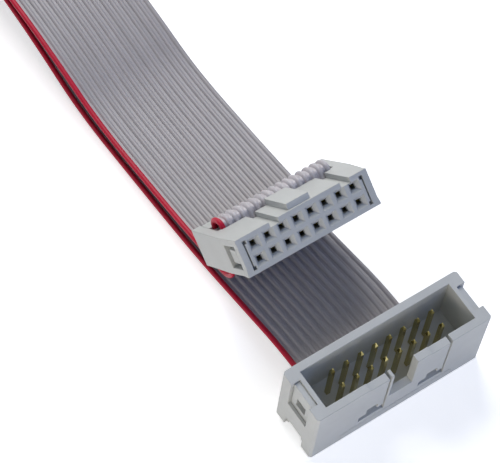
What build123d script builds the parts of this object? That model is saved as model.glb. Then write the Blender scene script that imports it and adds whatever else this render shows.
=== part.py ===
from build123d import *
import math
import os

# A 16-way flat ribbon cable, folded once and lying on a table. One end is
# crimped into a box header with pins, the other into a socket with strain relief.
# Millimetres. +X runs along the ribbon from its fold towards the header's pins,
# +Y across the ribbon, away from its marked edge, and +Z up from the table.
# The origin is on the table, below the middle of the two connectors together.

# ribbon
WAYS = 16
WIRE_PITCH = 1.27
WIRE_DIAMETER = 0.90
CONDUCTOR_DIAMETER = 0.38
RIBBON_WIDTH = (WAYS - 1) * WIRE_PITCH + WIRE_DIAMETER

# contact grid, two rows
CONTACT_PITCH = 2.54
COLUMNS = WAYS // 2
PIN_WIDTH = 0.64
PLATE_THICKNESS = 0.30
TINE_WIDTH = 0.42
TINE_REACH = 1.10
FORK_GAP = 0.26
FORK_ROOT = 0.65

# box header: its own frame has the origin in the middle of its base, +Z up the pins
HEADER_FOOT_X = 17.15
HEADER_LEAN = 8.5
HEADER_LENGTH = 31.0
HEADER_WIDTH = 9.1
HEADER_HEIGHT = 13.7
HEADER_RIBBON_LEVEL = 1.95
HEADER_FLOOR = 4.9
HEADER_PIN_TOP = 13.2
CAVITY_LENGTH = 26.6
CAVITY_WIDTH = 6.55
KEY_SLOT_WIDTH = 4.2
KEY_SLOT_BOTTOM = 6.6
SLIT_WIDTH = 0.40
SLIT_BOTTOM = 2.9
SLIT_OFFSETS = (-2.75, 8.15)
WINDOW_BOTTOM = 3.3
WINDOW_STEP = 4.7
WINDOW_TOP = 6.1
WINDOW_WIDTH = 4.3
WINDOW_HEAD_WIDTH = 2.0
WINDOW_DEPTH = 2.3
RIM_STEP = 0.30
RIM_STEP_WIDTH = 3.4
END_POST_WIDTH = 2.3
END_RECESS = 1.0
END_RECESS_BOTTOM = 7.2
FOOT_NOTCH_HEIGHT = 2.6
FOOT_NOTCH_WIDTH = 3.7
FOOT_NOTCH_DEPTH = 0.8
ARM_WIDTH = 4.3
ARM_THICKNESS = 0.90
ARM_TOP = 13.3
ARM_WINDOW = 2.1
ARM_WINDOW_BOTTOM = 8.4
ARM_POCKET = 0.5
HEADER_ARM_CLEARANCE = 0.05

# socket: its own frame has the origin in the middle of its mating face, +X out of it
SOCKET_FACE_X = -5.58
SOCKET_FACE_Z = 21.2
SOCKET_PITCH_UP = 42.0
SOCKET_LENGTH = 23.3
SOCKET_THICKNESS = 6.0
SOCKET_RIBBON_DEPTH = 8.7
SOCKET_RELIEF_DEPTH = 12.0
SOCKET_DEPTH = 15.6
SIDE_WALL = 1.15
SIDE_FLARE = 0.35
SIDE_FOOT = 0.15
NOTCHES = ((-5.7, -4.1), (6.9, 8.6))
NOTCH_DEPTH = 0.83
KEY_WIDTH = 3.9
KEY_HEIGHT = 1.0
KEY_SETBACK = 0.5
MOUTH_WIDTH = 1.90
HOLE_WIDTH = 0.90
MOUTH_DEPTH = 0.70
CELL_WIDTH = 1.66
CELL_HEIGHT = 1.30
CELL_START = 1.20
CELL_END = 5.60
BEAM_SETBACK = 0.9
SLOT_WIDTH = 0.25
SLOT_HEIGHT = 4.2
SLOT_POCKET = 0.60
SLOT_DEPTH = 1.0
LATCH_WINDOW = ((-4.6, -1.3), (-1.9, 1.9))
LATCH_NIB = ((-4.1, -1.9), (-1.1, 1.1))
LATCH_LEG_THICKNESS = 0.35
LATCH_LEG_WIDTH = 3.0
SOCKET_CLEARANCE = 0.05
HUMP_TOP = 4.1
COVER_TOP_DROP = 0.4
RELIEF_LUG = 0.9

# free stretch of the ribbon, from behind the header to below the socket: x and z of
# the points that its middle plane bends at
ROUTE = [
    (-9.6, 2.5), (-21.6, 0.9), (-40.6, 0.45), (-57.6, 0.45),
    (-69.6, 4.3), (-79.6, 6.7), (-89.6, 7.9), (-103.2, 5.4), (-114.2, 0.45),
    (-123.2, 0.45), (-131.1, 2.6), (-135.6, 7.4), (-133.5, 13.2), (-126.7, 15.7),
    (-109.2, 13.9), (-90.6, 9.8), (-76.6, 8.9), (-63.6, 6.7), (-51.6, 3.6),
    (-33.6, 4.0), (-23.6, 4.6), (-16.1, 5.3), (-12.6, 6.3),
]
HEADER_LEAD = 6.0
RIBBON_END_GAP = 0.25
HEADER_END_WALL = 0.8
SEAM_HEIGHT = 0.16
RELIEF_LEAD = 1.7

HEADER_PLACE = Location((HEADER_FOOT_X, 0, 0), (0, HEADER_LEAN, 0)) * Location(
    (-HEADER_WIDTH / 2, 0, 0)
)
SOCKET_PLACE = Location((SOCKET_FACE_X, 0, SOCKET_FACE_Z), (0, -SOCKET_PITCH_UP, 0))


def block(x, y, z):
    """A block between two coordinates along each axis."""
    return Pos((x[0] + x[1]) / 2, (y[0] + y[1]) / 2, (z[0] + z[1]) / 2) * Box(
        abs(x[1] - x[0]), abs(y[1] - y[0]), abs(z[1] - z[0])
    )


def wire_y(number):
    """Where a wire lies across the ribbon, counted from its marked edge."""
    return (number - (WAYS - 1) / 2) * WIRE_PITCH


def column_y(column):
    return (column - (COLUMNS - 1) / 2) * CONTACT_PITCH


def in_place(place, x, z):
    """A point of a connector's own frame, in the frame of the part."""
    return (place * Location((x, 0, z))).position


# ---------------------------------------------------------------- ribbon


def ribbon_points():
    """The bends of the ribbon's middle plane, end to end."""
    front = HEADER_WIDTH / 2 - HEADER_END_WALL
    back = -HEADER_WIDTH / 2 - HEADER_LEAD
    side = SOCKET_THICKNESS / 2
    points = [in_place(HEADER_PLACE, x, HEADER_RIBBON_LEVEL) for x in (front, back)]
    points += [Vector(x, 0, z) for x, z in ROUTE]
    points.append(in_place(SOCKET_PLACE, -SOCKET_RELIEF_DEPTH, -side - RELIEF_LEAD))
    points.append(in_place(SOCKET_PLACE, -SOCKET_RELIEF_DEPTH, HUMP_TOP))
    points.append(in_place(SOCKET_PLACE, -SOCKET_RIBBON_DEPTH, HUMP_TOP))
    points.append(in_place(SOCKET_PLACE, -SOCKET_RIBBON_DEPTH, RIBBON_END_GAP - side))
    return points


def bend_radii(points):
    """One radius per bend: as large as the shorter of its two runs allows."""
    radii = []
    for before, corner, after in zip(points, points[1:], points[2:]):
        turn = math.radians((corner - before).get_angle(after - corner))
        shorter = min((corner - before).length, (after - corner).length)
        radii.append(0.45 * shorter / math.tan(turn / 2))
    return radii


def ribbon_path():
    points = ribbon_points()
    radii = bend_radii(points)
    print("bend radii:", [round(radius, 1) for radius in radii])
    return FilletPolyline(*points, radius=radii)


def ribbon_section(frame):
    """The ribbon's outer shape: a flat band with half-round edges."""
    return frame * SlotOverall(RIBBON_WIDTH, WIRE_DIAMETER)


def section_frame(path):
    """The plane across the start of a path, with its X along the ribbon's width."""
    return Plane(origin=path @ 0, x_dir=(0, 1, 0), z_dir=path % 0)


def ribbon_bed(x, z, along, length):
    """The space that a straight stretch of ribbon fills inside a connector."""
    plane = Plane(origin=(x, 0, z), x_dir=(0, 1, 0), z_dir=along)
    return extrude(ribbon_section(plane), amount=length / 2, both=True)


def ribbon():
    """The insulation, with a round way for each conductor, and the conductors."""
    path = ribbon_path()
    frame = section_frame(path)
    insulation = sweep(ribbon_section(frame), path=path)
    conductors = []
    for number in range(WAYS):
        circle = frame * Pos(wire_y(number), 0) * Circle(CONDUCTOR_DIAMETER / 2)
        conductors.append(sweep(circle, path=path))
    expected = ribbon_section(frame).area * path.length
    print(f"ribbon length {path.length:.1f}, volume {insulation.volume:.1f}, "
          f"section times length {expected:.1f}")
    return insulation - conductors, conductors


# ---------------------------------------------------------------- contacts


def fork(wire):
    """Two tines that bite one conductor, about the ribbon's middle plane."""
    rod = Pos(0, wire, 0) * Rot(0, 90, 0) * Cylinder(CONDUCTOR_DIAMETER / 2, 1)
    inner, outer = FORK_GAP / 2, CONDUCTOR_DIAMETER / 2 + TINE_WIDTH
    half = PLATE_THICKNESS / 2
    sides = [(wire - outer, wire - inner), (wire + inner, wire + outer)]
    return [block((-half, half), side, (-TINE_REACH, FORK_ROOT)) - rod for side in sides]


def header_pin(column, row):
    """A square pin with a pyramid tip, a flat plate and a fork for one wire."""
    middle = column_y(column)
    x = row * CONTACT_PITCH / 2
    wire = wire_y(2 * column + (row + 1) // 2)
    half = PIN_WIDTH / 2
    shoulder = HEADER_PIN_TOP - PIN_WIDTH
    plate_bottom = HEADER_RIBBON_LEVEL + FORK_ROOT
    plate_top = HEADER_FLOOR - 1.0
    pin = block((x - half, x + half), (middle - half, middle + half), (plate_top, shoulder))
    tip = loft(
        [
            Pos(x, middle, shoulder) * Rectangle(PIN_WIDTH, PIN_WIDTH),
            Pos(x, middle, HEADER_PIN_TOP) * Rectangle(PIN_WIDTH / 4, PIN_WIDTH / 4),
        ]
    )
    edge = CONDUCTOR_DIAMETER / 2 + TINE_WIDTH
    plate = block(
        (x - PLATE_THICKNESS / 2, x + PLATE_THICKNESS / 2),
        (min(wire - edge, middle - half), max(wire + edge, middle + half)),
        (plate_bottom, plate_top),
    )
    place = Pos(x, 0, HEADER_RIBBON_LEVEL)
    return pin + tip + plate + [place * tine for tine in fork(wire)]


def socket_contact(column, row):
    """Two spring beams that grip a pin, a flat plate and a fork for one wire."""
    middle = column_y(column)
    level = row * CONTACT_PITCH / 2
    wire = wire_y(2 * column + (1 - row) // 2)
    edge = CONDUCTOR_DIAMETER / 2 + TINE_WIDTH
    plate_front = -CELL_END
    plate_back = FORK_ROOT - SOCKET_RIBBON_DEPTH
    outer = CELL_WIDTH / 2 - 0.1
    inner = PIN_WIDTH / 2 - 0.02
    beams = []
    for side in (-1, 1):
        beams.append(
            block(
                (plate_front, -CELL_START - BEAM_SETBACK),
                sorted((middle + side * (outer - 0.2), middle + side * outer)),
                (level - 0.4, level + 0.4),
            )
        )
        beams.append(
            block(
                (-CELL_START - BEAM_SETBACK - 1.1, -CELL_START - BEAM_SETBACK - 0.3),
                sorted((middle + side * inner, middle + side * (outer - 0.2))),
                (level - 0.3, level + 0.3),
            )
        )
    plate = block(
        (plate_back, plate_front + 0.3),
        (min(wire - edge, middle - outer), max(wire + edge, middle + outer)),
        (level - PLATE_THICKNESS / 2, level + PLATE_THICKNESS / 2),
    )
    place = Pos(-SOCKET_RIBBON_DEPTH, 0, level) * Rot(0, 90, 0)
    return plate + beams + [place * tine for tine in fork(wire)]


# ---------------------------------------------------------------- box header


def header_parts(pins):
    """The shroud and floor, and the cover that snaps on from below."""
    half_length = HEADER_LENGTH / 2
    half_width = HEADER_WIDTH / 2
    bed = ribbon_bed(-HEADER_END_WALL, HEADER_RIBBON_LEVEL, (1, 0, 0), HEADER_WIDTH)
    seam = block(
        (0, half_width + 1), (-RIBBON_WIDTH / 2, RIBBON_WIDTH / 2),
        (HEADER_RIBBON_LEVEL, HEADER_RIBBON_LEVEL + SEAM_HEIGHT),
    )
    body = header_shell(half_length, half_width) - bed - seam - pins
    cover = header_cover(half_length, half_width) - bed - pins
    return body, cover


def header_shell(half_length, half_width):
    body = block((-half_width, half_width), (-half_length, half_length), (0, HEADER_HEIGHT))
    body = chamfer(body.edges().filter_by(Axis.Z), 0.35)
    cavity = block(
        (-CAVITY_WIDTH / 2, CAVITY_WIDTH / 2),
        (-CAVITY_LENGTH / 2, CAVITY_LENGTH / 2),
        (HEADER_FLOOR, HEADER_HEIGHT + 1),
    )
    return body - [cavity] - front_wall_cuts(half_width) - end_cuts(half_length, half_width) \
        - cover_space(half_length, half_width)


def front_wall_cuts(half_width):
    """The key slot, and two slits that each run down into a stepped window."""
    wall = (CAVITY_WIDTH / 2 - 0.01, half_width + 1)
    pocket = (half_width - WINDOW_DEPTH, half_width + 1)
    half_key = KEY_SLOT_WIDTH / 2
    cuts = [block(wall, (-half_key, half_key), (KEY_SLOT_BOTTOM, HEADER_HEIGHT + 1))]
    for slit in SLIT_OFFSETS:
        cuts.append(
            block(wall, (slit - SLIT_WIDTH / 2, slit + SLIT_WIDTH / 2),
                  (SLIT_BOTTOM, HEADER_HEIGHT + 1))
        )
        side = slit - SLIT_WIDTH / 2
        cuts.append(block(pocket, (side - WINDOW_WIDTH, side), (WINDOW_BOTTOM, WINDOW_STEP)))
        head = side - 1.0
        cuts.append(block(pocket, (head - WINDOW_HEAD_WIDTH, head), (WINDOW_STEP, WINDOW_TOP)))
        cuts.append(
            block(wall, (side - RIM_STEP_WIDTH, side),
                  (HEADER_HEIGHT - RIM_STEP, HEADER_HEIGHT + 1))
        )
    return cuts


def end_cuts(half_length, half_width):
    """Per end: the recess that shows the latch arm, its channel and a foot notch."""
    cuts = []
    channel = ARM_WIDTH / 2 + HEADER_ARM_CLEARANCE
    inner = half_length - END_RECESS - ARM_THICKNESS / 2
    for side in (-1, 1):
        cuts.append(
            block(
                (-half_width + END_POST_WIDTH, half_width - END_POST_WIDTH),
                sorted((side * inner, side * (half_length + 1))),
                (END_RECESS_BOTTOM, HEADER_HEIGHT + 1),
            )
        )
        cuts.append(
            block(
                (-channel, channel),
                sorted((side * (inner - HEADER_ARM_CLEARANCE),
                        side * (inner + ARM_THICKNESS + HEADER_ARM_CLEARANCE))),
                (HEADER_RIBBON_LEVEL, HEADER_HEIGHT + 1),
            )
        )
        cuts.append(
            block(
                (-ARM_WINDOW / 2, ARM_WINDOW / 2),
                sorted((side * (inner - ARM_POCKET), side * half_length)),
                (ARM_WINDOW_BOTTOM, ARM_WINDOW_BOTTOM + ARM_WINDOW),
            )
        )
    return cuts + foot_notches(half_length)


def foot_notches(half_length):
    """The notch under each end, through the body's foot and the latch arm's root."""
    half = FOOT_NOTCH_WIDTH / 2
    inner = half_length - FOOT_NOTCH_DEPTH
    return [
        block((-half, half), sorted((side * inner, side * (half_length + 1))),
              (-1, FOOT_NOTCH_HEIGHT))
        for side in (-1, 1)
    ]


def cover_space(half_length, half_width):
    """Where the cover goes: full width under the ribbon, narrow under the ends."""
    middle = (WAYS * WIRE_PITCH) / 2
    tab = ARM_WIDTH / 2 + HEADER_ARM_CLEARANCE
    return [
        block((-half_width - 1, half_width + 1), (-middle, middle), (-1, HEADER_RIBBON_LEVEL)),
        block((-tab, tab), (-half_length - 1, half_length + 1), (-1, HEADER_RIBBON_LEVEL)),
    ]


def header_cover(half_length, half_width):
    """A plate under the ribbon, with a windowed latch arm up each end."""
    middle = (WAYS * WIRE_PITCH) / 2 - HEADER_ARM_CLEARANCE
    inner = half_length - END_RECESS - ARM_THICKNESS / 2
    outer = inner + ARM_THICKNESS
    cover = block((-half_width, half_width), (-middle, middle), (0, HEADER_RIBBON_LEVEL))
    cover += block(
        (-ARM_WIDTH / 2, ARM_WIDTH / 2), (-outer, outer), (0, HEADER_RIBBON_LEVEL)
    )
    for side in (-1, 1):
        arm = block(
            (-ARM_WIDTH / 2, ARM_WIDTH / 2), sorted((side * inner, side * outer)), (0, ARM_TOP)
        )
        window = block(
            (-ARM_WINDOW / 2, ARM_WINDOW / 2),
            sorted((side * (inner - 1), side * (outer + 1))),
            (ARM_WINDOW_BOTTOM, ARM_WINDOW_BOTTOM + ARM_WINDOW),
        )
        cover += arm - window
    return cover - foot_notches(half_length)


# ---------------------------------------------------------------- socket


def socket_parts(contacts):
    """The body with its side walls, the cover and the strain relief bar."""
    side = SOCKET_THICKNESS / 2
    crimp_bed = ribbon_bed(-SOCKET_RIBBON_DEPTH, 0, (0, 0, 1), SOCKET_THICKNESS + 6)
    relief_bed = ribbon_bed(-SOCKET_RELIEF_DEPTH, 0, (0, 0, 1), SOCKET_THICKNESS + 6)
    cover_raw, relief_raw = socket_cover(side), strain_relief(side)
    body = socket_body(side) - crimp_bed - relief_bed - contacts
    cover = cover_raw - crimp_bed - relief_bed - contacts
    relief = relief_raw - relief_bed
    return body, cover, relief


def socket_body(side):
    half = SOCKET_LENGTH / 2
    inner = half - SIDE_WALL
    outline = Polyline(
        (0, half), (-1.0, half), (-6.0, half + SIDE_FLARE), (-SOCKET_DEPTH, half + SIDE_FLARE),
        (-SOCKET_DEPTH, inner), (-SOCKET_RIBBON_DEPTH, inner), (-SOCKET_RIBBON_DEPTH, 0), (0, 0),
        close=True,
    )
    quarter = Pos(0, 0, -side) * extrude(make_face(outline), amount=SOCKET_THICKNESS)
    foot = Polyline(
        (half - 0.5, -side), (half + SIDE_FOOT, -side), (half + SIDE_FOOT, -side + 0.4),
        (half, -side + 1.3), (half - 0.5, -side + 1.3), close=True,
    )
    quarter += extrude(Plane.YZ * make_face(foot), amount=-1.4)
    body = quarter + mirror(quarter, about=Plane.XZ)
    body -= [
        block((-SOCKET_RIBBON_DEPTH - 1, 1), notch, (side - NOTCH_DEPTH, side + 1))
        for notch in NOTCHES
    ]
    body += block(
        (-SOCKET_RIBBON_DEPTH, -KEY_SETBACK), (-KEY_WIDTH / 2, KEY_WIDTH / 2),
        (side - 0.5, side + KEY_HEIGHT),
    )
    return body - contact_cells() - latch_cuts(half, inner)


def contact_cells():
    """A square mouth, hole and spring cell for each pin."""
    cells = []
    for column in range(COLUMNS):
        for row in (-1, 1):
            middle, level = column_y(column), row * CONTACT_PITCH / 2
            mouth = loft(
                [
                    Plane.YZ * Pos(middle, level) * Rectangle(MOUTH_WIDTH, MOUTH_WIDTH),
                    Plane.YZ.offset(-MOUTH_DEPTH) * Pos(middle, level)
                    * Rectangle(HOLE_WIDTH, HOLE_WIDTH),
                ]
            )
            half = HOLE_WIDTH / 2
            hole = block(
                (-CELL_START - 0.1, -MOUTH_DEPTH + 0.01),
                (middle - half, middle + half),
                (level - half, level + half),
            )
            cell = block(
                (-CELL_END, -CELL_START),
                (middle - CELL_WIDTH / 2, middle + CELL_WIDTH / 2),
                (level - CELL_HEIGHT / 2, level + CELL_HEIGHT / 2),
            )
            cells += [mouth, hole, cell]
    return cells


def latch_cuts(half, inner):
    """Per end: the thin slot in the face, the leg's channel and the side window."""
    cuts = []
    (back, front), (low, high) = LATCH_WINDOW
    leg = LATCH_LEG_WIDTH / 2 + SOCKET_CLEARANCE
    lug = RELIEF_LUG / 2
    bar_middle = -(SOCKET_RELIEF_DEPTH + SOCKET_DEPTH) / 2
    for side in (-1, 1):
        face_slot = side * (inner - SLOT_WIDTH / 2)
        cuts.append(
            block((-SLOT_DEPTH, 1), sorted((face_slot, face_slot + side * SLOT_WIDTH)),
                  (-SLOT_HEIGHT / 2, SLOT_HEIGHT / 2))
        )
        for end in (-1, 1):
            pocket = end * SLOT_HEIGHT / 2
            cuts.append(
                block((-SLOT_DEPTH, 1),
                      (face_slot - SLOT_POCKET / 2, face_slot + SLOT_POCKET / 2),
                      (pocket - SLOT_POCKET / 2, pocket + SLOT_POCKET / 2))
            )
        leg_inner = inner - SOCKET_CLEARANCE
        leg_outer = inner + LATCH_LEG_THICKNESS + SOCKET_CLEARANCE
        cuts.append(
            block((-SOCKET_RELIEF_DEPTH, back + 2.8), sorted((side * leg_inner, side * leg_outer)),
                  (-leg, leg))
        )
        cuts.append(block((back, front), sorted((side * leg_inner, side * (half + 1))), (low, high)))
        cuts.append(
            block((bar_middle - lug, bar_middle + lug),
                  sorted((side * inner, side * (inner + 0.6))), (-lug, lug))
        )
    return cuts


def socket_cover(side):
    """The block that presses the ribbon onto the forks, with two latch legs."""
    half = SOCKET_LENGTH / 2
    inner = half - SIDE_WALL
    reach = inner - SOCKET_CLEARANCE
    cover = block(
        (-SOCKET_RELIEF_DEPTH, -SOCKET_RIBBON_DEPTH), (-reach, reach),
        (-side, side - COVER_TOP_DROP),
    )
    back, front = LATCH_NIB[0]
    low, high = LATCH_NIB[1]
    for end in (-1, 1):
        cover += block(
            (-SOCKET_RELIEF_DEPTH, front),
            sorted((end * inner, end * (inner + LATCH_LEG_THICKNESS))),
            (-LATCH_LEG_WIDTH / 2, LATCH_LEG_WIDTH / 2),
        )
        cover += block(
            (-SOCKET_RELIEF_DEPTH, -SOCKET_RIBBON_DEPTH - 0.5),
            sorted((end * (reach - 0.2), end * inner)),
            (-LATCH_LEG_WIDTH / 2, LATCH_LEG_WIDTH / 2),
        )
        cover += block(
            (back, front), sorted((end * inner, end * (half - 0.15))), (low, high)
        )
    return cover


def strain_relief(side):
    """The bar that holds the folded ribbon against the cover, snapped in by lugs."""
    inner = SOCKET_LENGTH / 2 - SIDE_WALL
    reach = inner - SOCKET_CLEARANCE
    bar = block((-SOCKET_DEPTH, -SOCKET_RELIEF_DEPTH), (-reach, reach), (-side, side))
    bar = fillet(bar.edges().filter_by(Axis.Y).group_by(Axis.X)[0], 0.6)
    middle = -(SOCKET_RELIEF_DEPTH + SOCKET_DEPTH) / 2
    lug = RELIEF_LUG / 2 - SOCKET_CLEARANCE
    bar += block((middle - lug, middle + lug), (-inner - 0.5, inner + 0.5), (-lug, lug))
    return bar


# ---------------------------------------------------------------- assembly


def save(name, shape):
    shape.label = name
    export_step(shape, os.path.join("parts", name + ".step"))


def main():
    os.makedirs("parts", exist_ok=True)
    grid = [(column, row) for column in range(COLUMNS) for row in (-1, 1)]
    pins = [header_pin(column, row) for column, row in grid]
    contacts = [socket_contact(column, -row) for column, row in grid]
    header_body, header_lid = header_parts(pins)
    socket_shell, socket_lid, relief = socket_parts(contacts)
    pins = [HEADER_PLACE * pin for pin in pins]
    contacts = [SOCKET_PLACE * contact for contact in contacts]
    insulation, conductors = ribbon()
    insulation -= pins + contacts
    save("ribbon_insulation", insulation)
    save("header_body", HEADER_PLACE * header_body)
    save("header_cover", HEADER_PLACE * header_lid)
    save("socket_body", SOCKET_PLACE * socket_shell)
    save("socket_cover", SOCKET_PLACE * socket_lid)
    save("socket_strain_relief", SOCKET_PLACE * relief)
    for number in range(WAYS):
        save(f"ribbon_conductor_{number + 1:02d}", conductors[number])
        save(f"header_pin_{number + 1:02d}", pins[number])
        save(f"socket_contact_{number + 1:02d}", contacts[number])


main()
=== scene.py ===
import math

import bmesh
import bpy
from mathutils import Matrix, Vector


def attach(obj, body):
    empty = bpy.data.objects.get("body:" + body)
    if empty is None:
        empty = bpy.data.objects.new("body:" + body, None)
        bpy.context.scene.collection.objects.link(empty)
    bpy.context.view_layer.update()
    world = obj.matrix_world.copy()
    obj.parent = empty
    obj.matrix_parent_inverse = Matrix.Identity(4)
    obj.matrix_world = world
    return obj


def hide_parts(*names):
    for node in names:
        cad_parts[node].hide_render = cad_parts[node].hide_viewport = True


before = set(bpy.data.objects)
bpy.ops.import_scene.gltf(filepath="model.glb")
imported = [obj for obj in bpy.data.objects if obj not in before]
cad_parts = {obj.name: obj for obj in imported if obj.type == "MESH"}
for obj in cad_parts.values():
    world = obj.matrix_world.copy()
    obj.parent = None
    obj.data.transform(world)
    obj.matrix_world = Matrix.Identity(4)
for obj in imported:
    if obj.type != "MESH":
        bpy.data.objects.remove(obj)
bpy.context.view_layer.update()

bl_info = {
    "name": "Ribbon Cable",
    "version": (1, 0, 0),
    "blender": (4, 5, 0),
    "location": "View3D > Sidebar > Ribbon Cable",
    "description": "Builds the looks of a flat ribbon cable around its fixed frame",
    "category": "Object",
}

MM = 0.001

# sizes that the frame was built with, in millimetres
WAYS = 16
WIRE_PITCH = 1.27
WIRE_DIAMETER = 0.90
CONDUCTOR_DIAMETER = 0.38
RIBBON_WIDTH = (WAYS - 1) * WIRE_PITCH + WIRE_DIAMETER
HEADER_FOOT_X, HEADER_LEAN, HEADER_WIDTH, RIBBON_LEVEL = 17.15, 8.5, 9.1, 1.95
SOCKET_FACE_X, SOCKET_FACE_Z, SOCKET_PITCH_UP = -5.58, 21.2, 42.0
RELIEF_DEPTH, CRIMP_DEPTH, HUMP_TOP = -12.0, -8.7, 4.1
ROUTE = [
    (-9.6, 2.5), (-21.6, 0.9), (-40.6, 0.45), (-57.6, 0.45),
    (-69.6, 4.3), (-79.6, 6.7), (-89.6, 7.9), (-103.2, 5.4), (-114.2, 0.45),
    (-123.2, 0.45), (-131.1, 2.6), (-135.6, 7.4), (-133.5, 13.2), (-126.7, 15.7),
    (-109.2, 13.9), (-90.6, 9.8), (-76.6, 8.9), (-63.6, 6.7), (-51.6, 3.6),
    (-33.6, 4.0), (-23.6, 4.6), (-16.1, 5.3), (-12.6, 6.3),
]
HEADER_END, HEADER_JOIN, HEADER_LEAD = 3.75, -4.4, -10.55
SOCKET_LEAD, SOCKET_JOIN, SOCKET_END = -4.7, 2.4, -2.75
FREE_LENGTH = 285.7
STEPS_PER_SPAN = 12

# how finely the ribbon and its wires are drawn
ARC_STEPS = 5
CONDUCTOR_SIDES = 6
CONDUCTOR_STUB = 0.05
RIBBON_SMOOTH_BELOW = 38.0

# how much lighter the grey PVC is where it is bent hard: partly real stress whitening, partly
# painted light on the loop's up-facing top
WHITENING_AND_PAINTED_LIGHT = 1.6


def linear(hex_colour):
    """An sRGB hex colour as linear RGBA."""
    parts = [int(hex_colour[i:i + 2], 16) / 255 for i in (1, 3, 5)]
    low = [part / 12.92 if part <= 0.04045 else ((part + 0.055) / 1.055) ** 2.4 for part in parts]
    return (*low, 1.0)


# ---------------------------------------------------------------- settings


class RibbonSettings(bpy.types.PropertyGroup):
    web_thickness: bpy.props.FloatProperty(
        name="Web thickness", description="Thickness of the web between two wires",
        default=0.30 * MM, unit="LENGTH")
    bent_web_thickness: bpy.props.FloatProperty(
        name="Web at the crimp",
        description="Thickness of the web where it is drawn over the cover",
        default=0.12 * MM, unit="LENGTH")
    grey: bpy.props.FloatVectorProperty(
        name="Grey PVC", description="Colour of the insulation",
        default=linear("#9F9B9F"), size=4, subtype="COLOR", min=0, max=1)
    red: bpy.props.FloatVectorProperty(
        name="Red PVC", description="Colour of the marked first wire",
        default=linear("#B80A32"), size=4, subtype="COLOR", min=0, max=1)


class ConnectorSettings(bpy.types.PropertyGroup):
    plastic: bpy.props.FloatVectorProperty(
        name="Connector plastic", description="Colour of both connectors' mouldings",
        default=linear("#C2C4C3"), size=4, subtype="COLOR", min=0, max=1)
    edge_radius: bpy.props.FloatProperty(
        name="Edge radius", description="How round the moulded edges look",
        default=0.14 * MM, unit="LENGTH")
    brass: bpy.props.FloatVectorProperty(
        name="Contact metal", description="Colour of the pins and the spring contacts",
        default=linear("#C0B478"), size=4, subtype="COLOR", min=0, max=1)


class StageSettings(bpy.types.PropertyGroup):
    floor: bpy.props.FloatVectorProperty(
        name="Floor", description="Colour of the floor",
        default=linear("#F4F4F4"), size=4, subtype="COLOR", min=0, max=1)
    lens: bpy.props.FloatProperty(
        name="Lens", description="Focal length of the camera, in millimetres",
        default=144.0, min=1.0)


# ---------------------------------------------------------------- materials


def add_node(tree, kind, settings=None, links=None):
    """Adds one node, sets its properties and sockets, and links its inputs."""
    node = tree.nodes.new(kind)
    for name, value in (settings or {}).items():
        if isinstance(name, str) and hasattr(node, name) and name not in node.inputs:
            setattr(node, name, value)
        else:
            node.inputs[name].default_value = value
    for name, output in (links or {}).items():
        tree.links.new(output, node.inputs[name])
    return node


def new_material(name):
    """An empty node material and its tree."""
    material = bpy.data.materials.new(name)
    material.use_nodes = True
    material.node_tree.nodes.clear()
    return material, material.node_tree


def finish_material(tree, shader):
    """Links the last shader to the material's output."""
    add_node(tree, "ShaderNodeOutputMaterial", links={"Surface": shader.outputs[0]})


def shade(colour, factor):
    """The same colour, lighter or darker."""
    return (*[min(1.0, channel * factor) for channel in colour[:3]], 1.0)


# pattern scales in cells per metre, with the real size that each one draws
PVC_STREAKS = (16.0, 1.2, 1.0)   # per width of the ribbon: 1.25 mm across, 17 mm along
PVC_GRAIN = 1800.0        # pits of about 0.6 mm in the extruded skin
FLOW_MARKS = 160.0        # flow marks about 6 mm apart in the mouldings
MOULD_GRAIN = 5200.0      # spark-eroded grain of about 0.2 mm
DRAW_SCRATCHES = 9000.0   # scratches about 0.1 mm apart, ten times as long


def pvc(name, colour, highlight):
    # Extruded soft PVC: an even satin skin with faint streaks along each wire.
    # The UV map counts widths of the ribbon, so a streak is about one wire wide.
    material, tree = new_material(name)
    place = add_node(tree, "ShaderNodeUVMap", {"uv_map": "run"})
    along = add_node(tree, "ShaderNodeMapping", {"Scale": PVC_STREAKS},
                     {"Vector": place.outputs["UV"]})
    streaks = add_node(tree, "ShaderNodeTexNoise", {"Scale": 1.0, "Detail": 3.0, "Roughness": 0.6},
                       {"Vector": along.outputs[0]})
    tone = add_node(tree, "ShaderNodeValToRGB", links={"Fac": streaks.outputs["Fac"]})
    tone.color_ramp.elements[0].position = 0.30
    tone.color_ramp.elements[0].color = shade(colour, 0.90)
    tone.color_ramp.elements[1].position = 0.70
    tone.color_ramp.elements[1].color = shade(colour, 1.07)
    spot = add_node(tree, "ShaderNodeTexCoord")
    grain = add_node(tree, "ShaderNodeTexNoise", {"Scale": PVC_GRAIN, "Detail": 2.0},
                     {"Vector": spot.outputs["Object"]})
    bump = add_node(tree, "ShaderNodeBump", {"Strength": 0.12, "Distance": 0.00004},
                    {"Height": grain.outputs["Fac"]})
    shader = add_node(
        tree, "ShaderNodeBsdfPrincipled",
        {"Roughness": 0.42, "IOR": 1.53, "Specular IOR Level": highlight,
         "Subsurface Weight": 0.08, "Subsurface Radius": (0.0008, 0.0005, 0.0005),
         "Subsurface Scale": 1.0},
        {"Base Color": tone.outputs["Color"], "Normal": bump.outputs["Normal"]})
    finish_material(tree, shader)
    return material


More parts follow.
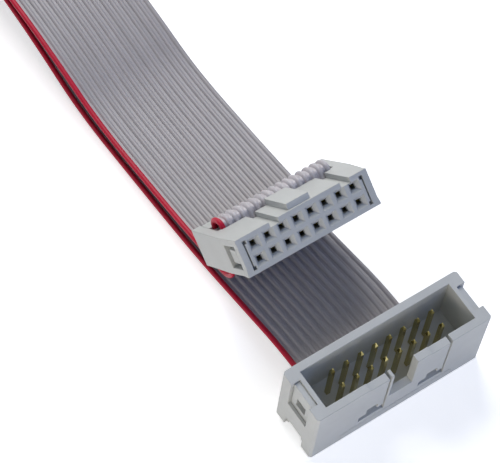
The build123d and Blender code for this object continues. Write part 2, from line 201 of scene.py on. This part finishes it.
def moulded_polyester(name, colour, edge_radius):
    # Glass-filled PBT from a spark-eroded mould: a fine matt grain, faint flow
    # marks, and edges that the mould leaves slightly round.
    material, tree = new_material(name)
    spot = add_node(tree, "ShaderNodeTexCoord")
    flow = add_node(tree, "ShaderNodeTexNoise",
                    {"Scale": FLOW_MARKS, "Detail": 4.0, "Roughness": 0.55},
                    {"Vector": spot.outputs["Object"]})
    tone = add_node(tree, "ShaderNodeValToRGB", links={"Fac": flow.outputs["Fac"]})
    tone.color_ramp.elements[0].position = 0.30
    tone.color_ramp.elements[0].color = shade(colour, 0.94)
    tone.color_ramp.elements[1].position = 0.70
    tone.color_ramp.elements[1].color = shade(colour, 1.04)
    grain = add_node(tree, "ShaderNodeTexNoise", {"Scale": MOULD_GRAIN, "Detail": 2.0},
                     {"Vector": spot.outputs["Object"]})
    edges = add_node(tree, "ShaderNodeBevel", {"samples": 6, "Radius": edge_radius})
    bump = add_node(tree, "ShaderNodeBump", {"Strength": 0.25, "Distance": 0.00003},
                    {"Height": grain.outputs["Fac"], "Normal": edges.outputs["Normal"]})
    gloss = add_node(tree, "ShaderNodeMapRange", {"To Min": 0.46, "To Max": 0.60},
                     {"Value": flow.outputs["Fac"]})
    shader = add_node(
        tree, "ShaderNodeBsdfPrincipled", {"IOR": 1.5},
        {"Base Color": tone.outputs["Color"], "Normal": bump.outputs["Normal"],
         "Roughness": gloss.outputs["Result"]})
    finish_material(tree, shader)
    return material


def drawn_metal(name, colour, roughness):
    # Drawn and plated metal: bright, with fine scratches along the draw.
    material, tree = new_material(name)
    spot = add_node(tree, "ShaderNodeTexCoord")
    along = add_node(tree, "ShaderNodeMapping", {"Scale": (1.0, 1.0, 0.1)},
                     {"Vector": spot.outputs["Object"]})
    scratches = add_node(tree, "ShaderNodeTexNoise", {"Scale": DRAW_SCRATCHES, "Detail": 2.0},
                         {"Vector": along.outputs[0]})
    bump = add_node(tree, "ShaderNodeBump", {"Strength": 0.2, "Distance": 0.00002},
                    {"Height": scratches.outputs["Fac"]})
    wear = add_node(tree, "ShaderNodeMapRange",
                    {"To Min": roughness - 0.06, "To Max": roughness + 0.08},
                    {"Value": scratches.outputs["Fac"]})
    tone = add_node(tree, "ShaderNodeValToRGB", links={"Fac": scratches.outputs["Fac"]})
    tone.color_ramp.elements[0].color = shade(colour, 0.85)
    tone.color_ramp.elements[1].color = colour
    shader = add_node(
        tree, "ShaderNodeBsdfPrincipled", {"Metallic": 1.0},
        {"Base Color": tone.outputs["Color"], "Roughness": wear.outputs["Result"],
         "Normal": bump.outputs["Normal"]})
    finish_material(tree, shader)
    return material


# ---------------------------------------------------------------- ribbon


def in_header(along, height):
    """A point of the header's own frame, as x and z in the part's frame."""
    lean = math.radians(HEADER_LEAN)
    back = along - HEADER_WIDTH / 2
    return (HEADER_FOOT_X + back * math.cos(lean) + height * math.sin(lean),
            height * math.cos(lean) - back * math.sin(lean))


def in_socket(along, height):
    """A point of the socket's own frame, as x and z in the part's frame."""
    pitch = math.radians(SOCKET_PITCH_UP)
    return (SOCKET_FACE_X + along * math.cos(pitch) - height * math.sin(pitch),
            SOCKET_FACE_Z + along * math.sin(pitch) + height * math.cos(pitch))


def header_route():
    """Control points of the straight stretch that the header grips."""
    return [in_header(along, RIBBON_LEVEL) for along in (HEADER_END, 1.0, -1.8, HEADER_JOIN)]


def free_route():
    """Control points from the header's back to just inside the strain relief."""
    return ([in_header(HEADER_JOIN, RIBBON_LEVEL), in_header(HEADER_LEAD, RIBBON_LEVEL)] + ROUTE
            + [in_socket(RELIEF_DEPTH, SOCKET_LEAD), in_socket(RELIEF_DEPTH, SOCKET_JOIN)])


def loop_route():
    """Control points from there over the cover and down to the forks."""
    return [in_socket(along, height) for along, height in (
        (RELIEF_DEPTH, SOCKET_JOIN), (RELIEF_DEPTH, HUMP_TOP),
        (CRIMP_DEPTH, HUMP_TOP), (CRIMP_DEPTH, SOCKET_JOIN), (CRIMP_DEPTH, SOCKET_END))]


def line_through(route):
    """Points along the smooth line that a route's control points shape."""
    curve = bpy.data.curves.new("route", "CURVE")
    curve.dimensions = "3D"
    curve.resolution_u = STEPS_PER_SPAN
    spline = curve.splines.new("NURBS")
    spline.points.add(len(route) - 1)
    for point, (x, z) in zip(spline.points, route):
        point.co = (x * MM, 0.0, z * MM, 1.0)
    spline.order_u = 3
    spline.use_endpoint_u = True
    guide = bpy.data.objects.new("route", curve)
    bpy.context.scene.collection.objects.link(guide)
    bpy.context.view_layer.update()
    mesh = bpy.data.meshes.new_from_object(
        guide.evaluated_get(bpy.context.evaluated_depsgraph_get()))
    points = [vertex.co.copy() for vertex in mesh.vertices]
    bpy.data.meshes.remove(mesh)
    bpy.data.objects.remove(guide)
    bpy.data.curves.remove(curve)
    return points


def frames_along(points):
    """Each point with the direction across the ribbon's thickness there."""
    frames = []
    for i, point in enumerate(points):
        ahead, behind = points[min(i + 1, len(points) - 1)], points[max(i - 1, 0)]
        tangent = (ahead - behind).normalized()
        frames.append((point, Vector((-tangent.z, 0.0, tangent.x))))
    return frames


def wire_offset(number):
    """How far one wire's centre is from the ribbon's middle, across it."""
    return (number - (WAYS - 1) / 2) * WIRE_PITCH * MM


def lobed_section(web):
    """The ribbon's outline, as distance across, height and wire number."""
    radius = WIRE_DIAMETER * MM / 2
    edge = math.asin(web / 2 / radius)
    outline = []
    for side, numbers in ((1, range(WAYS)), (-1, reversed(range(WAYS)))):
        for number in numbers:
            start, end = math.pi - edge, edge
            if number == 0:
                start = math.pi
            if number == WAYS - 1:
                end = 0.0
            if side < 0:
                start, end = end, start
            for step in range(ARC_STEPS + 1):
                angle = side * (start + (end - start) * step / ARC_STEPS)
                outline.append((wire_offset(number) + radius * math.cos(angle),
                                radius * math.sin(angle), number))
    # the outermost point of each edge wire is shared by the upper and the lower side
    half = len(outline) // 2
    return outline[:half] + outline[half + 1:-1]


def finished_piece(name, mesh, materials):
    """Turns a finished bmesh into a piece of the scene, with its faces outwards."""
    bmesh.ops.recalc_face_normals(mesh, faces=mesh.faces)
    data = bpy.data.meshes.new(name)
    mesh.to_mesh(data)
    mesh.free()
    for material in materials:
        data.materials.append(material)
    piece = bpy.data.objects.new(name, data)
    bpy.context.scene.collection.objects.link(piece)
    return piece


def sweep_outline(name, points, outline, materials, run=0.0):
    """A closed band of that outline along the points, with its run as its UV map."""
    mesh = bmesh.new()
    uv = mesh.loops.layers.uv.new("run")
    rings, lengths = [], []
    frames = frames_along(points)
    for i, (point, up) in enumerate(frames):
        run += (point - frames[i - 1][0]).length if i else 0.0
        lengths.append(run)
        rings.append([mesh.verts.new(point + Vector((0.0, across, 0.0)) + up * height)
                      for across, height, _ in outline])
    count = len(outline)
    for i in range(len(rings) - 1):
        for j in range(count):
            k = (j + 1) % count
            face = mesh.faces.new((rings[i][j], rings[i][k], rings[i + 1][k], rings[i + 1][j]))
            face.smooth = True
            first_wire = outline[j][2] == 0 and outline[k][2] == 0
            face.material_index = 1 if first_wire else 0
            for loop, (ring, column) in zip(face.loops, ((i, j), (i, k), (i + 1, k), (i + 1, j))):
                loop[uv].uv = (outline[column][0] / (RIBBON_WIDTH * MM) + 0.5,
                               lengths[ring] / (RIBBON_WIDTH * MM))
    mesh.faces.new(rings[0])
    mesh.faces.new(rings[-1])
    piece = finished_piece(name, mesh, materials)
    smooth_by_angle(piece, RIBBON_SMOOTH_BELOW)
    return piece


def smooth_by_angle(piece, degrees):
    """Shades a piece smooth except where it turns by more than that angle."""
    bpy.ops.object.select_all(action="DESELECT")
    piece.select_set(True)
    bpy.context.view_layer.objects.active = piece
    bpy.ops.object.shade_smooth_by_angle(angle=math.radians(degrees))


def pvc_pair():
    """The grey and the red insulation, made once."""
    settings = bpy.context.scene.cable_ribbon
    grey = bpy.data.materials.get("grey soft PVC") or pvc("grey soft PVC", settings.grey, 0.45)
    red = bpy.data.materials.get("red soft PVC") or pvc("red soft PVC", settings.red, 0.25)
    return grey, red


def whitened_and_lit_pvc_pair():
    """The same two, with the grey painted lighter over the cover: partly whitened by the tight
    bend, partly painted light on the loop's up-facing top.
    """
    settings = bpy.context.scene.cable_ribbon
    # painted light: the grey is made lighter here partly for stress whitening and partly to stand
    # in for light on the loop's up-facing top
    pale = pvc("grey PVC whitened by the bend and painted lit", shade(settings.grey, WHITENING_AND_PAINTED_LIGHT), 0.5)
    return pale, pvc_pair()[1]


class FreeRibbon(bpy.types.Operator):
    """Lays the free ribbon from the header, round its fold, to the strain relief"""

    bl_idname = "cable.free_ribbon"
    bl_label = "Free ribbon"

    def execute(self, context):
        outline = lobed_section(context.scene.cable_ribbon.web_thickness)
        points = line_through(free_route())
        piece = sweep_outline("ribbon_free", points, outline, pvc_pair())
        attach(piece, "root")
        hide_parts("ribbon_insulation")
        [tuple(point) for point in points]
        return {"FINISHED"}


class CrimpedEnds(bpy.types.Operator):
    """Puts in the stretch that the header grips and the loop over the socket's cover"""

    bl_idname = "cable.crimped_ends"
    bl_label = "Crimped ends of the ribbon"

    def execute(self, context):
        settings = context.scene.cable_ribbon
        gripped = (HEADER_JOIN - HEADER_END) * MM
        for name, route, web, materials, run in (
                ("ribbon_in_header", header_route(), settings.web_thickness, pvc_pair(), gripped),
                ("ribbon_loop", loop_route(), settings.bent_web_thickness, whitened_and_lit_pvc_pair(),
                 FREE_LENGTH * MM)):
            piece = sweep_outline(name, line_through(route), lobed_section(web), materials, run)
            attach(piece, "root")
            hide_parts("ribbon_insulation")
        return {"FINISHED"}


class CopperWires(bpy.types.Operator):
    """Runs the sixteen conductors inside the insulation, end to end"""

    bl_idname = "cable.copper_wires"
    bl_label = "Conductors"

    def execute(self, context):
        copper = drawn_metal("bare copper wire", linear("#C8794F"), 0.32)
        points = (line_through(header_route())[:-1] + line_through(free_route())[:-1]
                  + line_through(loop_route()))
        points[0] += (points[0] - points[1]).normalized() * CONDUCTOR_STUB * MM
        mesh = bmesh.new()
        frames = frames_along(points)
        radius = CONDUCTOR_DIAMETER * MM / 2
        turns = [math.tau * side / CONDUCTOR_SIDES for side in range(CONDUCTOR_SIDES)]
        for number in range(WAYS):
            rings = []
            for point, up in frames:
                centre = point + Vector((0.0, wire_offset(number), 0.0))
                rings.append([mesh.verts.new(
                    centre + Vector((0.0, math.cos(turn) * radius, 0.0))
                    + up * math.sin(turn) * radius) for turn in turns])
            for ring, following in zip(rings, rings[1:]):
                for j in range(CONDUCTOR_SIDES):
                    k = (j + 1) % CONDUCTOR_SIDES
                    mesh.faces.new((ring[j], ring[k], following[k], following[j])).smooth = True
            mesh.faces.new(rings[0])
            mesh.faces.new(rings[-1])
        piece = finished_piece("ribbon_conductors", mesh, [copper])
        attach(piece, "root")
        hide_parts(*[f"ribbon_conductor_{i + 1:02d}" for i in range(WAYS)])
        return {"FINISHED"}


# ---------------------------------------------------------------- connectors


def give_material(prefixes, material):
    """Puts one material on every frame node whose name starts so."""
    found = [node for name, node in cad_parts.items() if name.startswith(prefixes)]
    if not found:
        raise RuntimeError(f"no frame node starts with {prefixes}")
    for node in found:
        node.data.materials.clear()
        node.data.materials.append(material)


class MouldedConnectors(bpy.types.Operator):
    """Gives both connectors' mouldings their matt grey polyester"""

    bl_idname = "cable.moulded_connectors"
    bl_label = "Connector mouldings"

    def execute(self, context):
        settings = context.scene.cable_connectors
        grey = moulded_polyester("grey moulded PBT", settings.plastic, settings.edge_radius)
        give_material(("header_body", "header_cover", "socket_body", "socket_cover",
                       "socket_strain_relief"), grey)
        return {"FINISHED"}


class PlatedContacts(bpy.types.Operator):
    """Gives the header's pins and the socket's spring contacts their gold flash"""

    bl_idname = "cable.plated_contacts"
    bl_label = "Pins and contacts"

    def execute(self, context):
        brass = drawn_metal("gold-flashed brass", context.scene.cable_connectors.brass, 0.20)
        give_material(("header_pin", "socket_contact"), brass)
        return {"FINISHED"}


# ---------------------------------------------------------------- stage


CAMERA_PLACE = (0.13324, -0.09878, 0.25942)
CAMERA_TURN = (35.3185, 0.9892, 56.0605)
AIM = Vector((-0.01, 0.0, 0.01))
FLOOR_SIDE = 4.0
FLOOR_GLOW = 0.58
SKY_COLOUR, SKY_STRENGTH = "#D0DAEA", 0.28
# name, place in metres, side in metres, watts, colour
LAMPS = (
    ("key", (-0.35, 0.10, 0.42), 0.34, 2.1, "#FFFDF8"),
    ("left", (-0.06, -0.50, 0.20), 0.30, 0.10, "#FFFDF6"),
    ("front", (0.12, -0.15, 0.025), 0.10, 0.16, "#FFF5E4"),
    ("window", (0.30, 0.14, 0.30), 0.30, 0.34, "#6099F8"),
)


def seen_by_camera(tree):
    """1 for camera, glossy and transmission rays, and 0 for light on surfaces."""
    path = add_node(tree, "ShaderNodeLightPath")
    seen = path.outputs["Is Camera Ray"]
    for output in ("Is Glossy Ray", "Is Transmission Ray"):
        either = add_node(tree, "ShaderNodeMath", {"operation": "MAXIMUM"})
        tree.links.new(seen, either.inputs[0])
        tree.links.new(path.outputs[output], either.inputs[1])
        seen = either.outputs[0]
    return seen


def white_floor(colour):
    # A sheet of white paper: matt, and bright enough to be plain white where no
    # shadow falls.
    material, tree = new_material("white paper floor")
    paper = add_node(tree, "ShaderNodeBsdfPrincipled", {"Base Color": colour, "Roughness": 0.9,
                                                         "Specular IOR Level": 0.1})
    glow = add_node(tree, "ShaderNodeEmission", {"Strength": FLOOR_GLOW})
    nothing = add_node(tree, "ShaderNodeEmission", {"Strength": 0.0})
    lift = add_node(tree, "ShaderNodeMixShader", links={"Fac": seen_by_camera(tree)})
    tree.links.new(nothing.outputs[0], lift.inputs[1])
    tree.links.new(glow.outputs[0], lift.inputs[2])
    both = add_node(tree, "ShaderNodeAddShader")
    tree.links.new(paper.outputs[0], both.inputs[0])
    tree.links.new(lift.outputs[0], both.inputs[1])
    finish_material(tree, both)
    return material


def pale_room():
    """A soft cool sky for light on surfaces, and plain white where it is seen."""
    world = bpy.data.worlds.new("pale room")
    world.use_nodes = True
    tree = world.node_tree
    tree.nodes.clear()
    fill = add_node(tree, "ShaderNodeBackground",
                    {"Color": linear(SKY_COLOUR), "Strength": SKY_STRENGTH})
    white = add_node(tree, "ShaderNodeBackground", {"Color": (1, 1, 1, 1), "Strength": 1.0})
    either = add_node(tree, "ShaderNodeMixShader", links={"Fac": seen_by_camera(tree)})
    tree.links.new(fill.outputs[0], either.inputs[1])
    tree.links.new(white.outputs[0], either.inputs[2])
    add_node(tree, "ShaderNodeOutputWorld", links={"Surface": either.outputs[0]})
    return world


class Stage(bpy.types.Operator):
    """Sets the floor, the lamps, the surroundings and the camera"""

    bl_idname = "cable.stage"
    bl_label = "Floor, light and camera"

    def execute(self, context):
        settings = context.scene.cable_stage
        bpy.ops.object.select_all(action="DESELECT")
        bpy.ops.mesh.primitive_plane_add(size=FLOOR_SIDE)
        floor = context.object
        floor.name = "floor"
        floor.data.materials.append(white_floor(settings.floor))
        for name, place, side, watts, colour in LAMPS:
            bpy.ops.object.light_add(type="AREA", location=place)
            lamp = context.object
            lamp.name = f"{name}_lamp"
            lamp.rotation_euler = (AIM - Vector(place)).to_track_quat("-Z", "Y").to_euler()
            lamp.data.size = side
            lamp.data.energy = watts
            lamp.data.color = linear(colour)[:3]
        bpy.ops.object.camera_add(location=CAMERA_PLACE,
                                  rotation=[math.radians(turn) for turn in CAMERA_TURN])
        camera = context.object
        camera.data.lens = settings.lens
        camera.data.sensor_width = 36.0
        camera.data.clip_start = 0.01
        context.scene.camera = camera
        context.scene.world = pale_room()
        context.scene.view_settings.view_transform = "Standard"
        return {"FINISHED"}


# ---------------------------------------------------------------- add-on


OPERATORS = (Stage, CopperWires, FreeRibbon, CrimpedEnds, MouldedConnectors, PlatedContacts)


class CablePanel(bpy.types.Panel):
    """Lists the cable's pieces and its colours"""

    bl_idname = "VIEW3D_PT_ribbon_cable"
    bl_label = "Ribbon Cable"
    bl_space_type = "VIEW_3D"
    bl_region_type = "UI"
    bl_category = "Ribbon Cable"

    def draw(self, context):
        for group in (context.scene.cable_ribbon, context.scene.cable_connectors,
                      context.scene.cable_stage):
            box = self.layout.box()
            for name in type(group).__annotations__:
                box.prop(group, name)
        for operator in OPERATORS:
            self.layout.operator(operator.bl_idname)


SETTINGS = {"cable_ribbon": RibbonSettings, "cable_connectors": ConnectorSettings,
            "cable_stage": StageSettings}


def register():
    for kind in (*SETTINGS.values(), *OPERATORS, CablePanel):
        bpy.utils.register_class(kind)
    for name, kind in SETTINGS.items():
        setattr(bpy.types.Scene, name, bpy.props.PointerProperty(type=kind))


def unregister():
    for name in SETTINGS:
        delattr(bpy.types.Scene, name)
    for kind in (CablePanel, *reversed(OPERATORS), *SETTINGS.values()):
        bpy.utils.unregister_class(kind)


def main():
    register()
    bpy.ops.cable.stage()
    bpy.ops.cable.copper_wires()
    bpy.ops.cable.free_ribbon()
    bpy.ops.cable.crimped_ends()
    bpy.ops.cable.moulded_connectors()
    bpy.ops.cable.plated_contacts()


if __name__ == "__main__":
    main()
